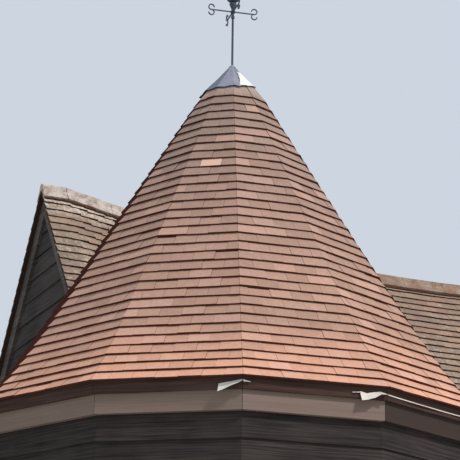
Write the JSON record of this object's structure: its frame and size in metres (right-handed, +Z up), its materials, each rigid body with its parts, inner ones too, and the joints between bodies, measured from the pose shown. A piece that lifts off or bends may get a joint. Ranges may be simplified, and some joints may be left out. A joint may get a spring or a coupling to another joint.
{
  "type": "oast house",
  "caption": "Oast house: a polygonal hop kiln with a tiled pyramid roof, lead cap and turning weathervane, at the corner of a boarded barn with a sagging tiled roof",
  "frame": {"origin": "middle of the whole building's box, on the ground", "axes": "X along the barn's ridge with the kiln at the -X end, Y towards the back of the barn, Z up"},
  "size_m": [9.0402, 6.8352, 8.7158],
  "materials": {
    "plinth_brick": "weathered red brick",
    "weatherboard": "dark stained weatherboard",
    "frieze_board": "grey-brown weathered board",
    "eaves_board": "dark stained board",
    "new_tile": "plain clay tile, new and matt",
    "old_tile": "plain clay tile, old, mossy and lichened",
    "ridge_tile": "clay ridge tile with pale lichen",
    "rafter": "rough sawn roof timber",
    "lead": "dull grey sheet lead",
    "iron": "dark painted iron",
    "door_board": "dark stained planks",
    "painted_joinery": "off-white paint",
    "window_glass": "clear window glass",
    "floor_board": "plain floor boards on joists",
    "barge_board": "silver-grey weathered board"
  },
  "bodies": {
    "building": {"kiln_plinth": "plinth_brick", "kiln_wall_1": "weatherboard", "kiln_wall_2": "weatherboard", "kiln_wall_3": "weatherboard", "kiln_wall_4": "weatherboard", "kiln_wall_5": "weatherboard", "kiln_wall_6": "weatherboard", "kiln_wall_7": "weatherboard", "kiln_wall_8": "weatherboard", "kiln_wall_9": "weatherboard", "kiln_wall_10": "weatherboard", "kiln_wall_11": "weatherboard", "kiln_wall_12": "weatherboard", "kiln_frieze": "frieze_board", "kiln_fascia": "eaves_board", "kiln_roof_1": "new_tile", "kiln_roof_2": "new_tile", "kiln_roof_3": "new_tile", "kiln_roof_4": "new_tile", "kiln_roof_5": "new_tile", "kiln_roof_6": "new_tile", "kiln_roof_7": "new_tile", "kiln_roof_8": "new_tile", "kiln_roof_9": "new_tile", "kiln_roof_10": "new_tile", "kiln_roof_11": "new_tile", "kiln_roof_12": "new_tile", "lead_cap": "lead", "kiln_door": "door_board", "kiln_window_frame": "painted_joinery", "kiln_window_glass": "window_glass", "vane_rod": "iron", "compass_arms": "iron", "barn_plinth": "plinth_brick", "front_wall_left": "weatherboard", "front_wall_over_door": "weatherboard", "front_wall_right": "weatherboard", "back_wall": "weatherboard", "left_gable": "weatherboard", "right_gable": "weatherboard", "loft_floor": "floor_board", "barn_tiles_front": "old_tile", "barn_tiles_back": "old_tile", "barn_rafters_front": "rafter", "barn_rafters_back": "rafter", "ridge_tiles": "ridge_tile", "left_barge_boards": "barge_board", "right_barge_boards": "barge_board", "barn_fascias": "eaves_board", "barn_door_frame": "door_board", "barn_door_left_leaf": "door_board", "barn_door_right_leaf": "door_board", "loading_door": "door_board", "barn_window_frames": "painted_joinery", "barn_window_glass": "window_glass"},
    "vane": {"weathervane": "iron"}
  },
  "joints": [
    {"name": "vane_turn", "type": "hinge", "parent": "building", "child": "vane", "pos_m": [-2.43492, -1.33242, 8.6], "axis": [0, 0, 1], "continuous": true}
  ]
}
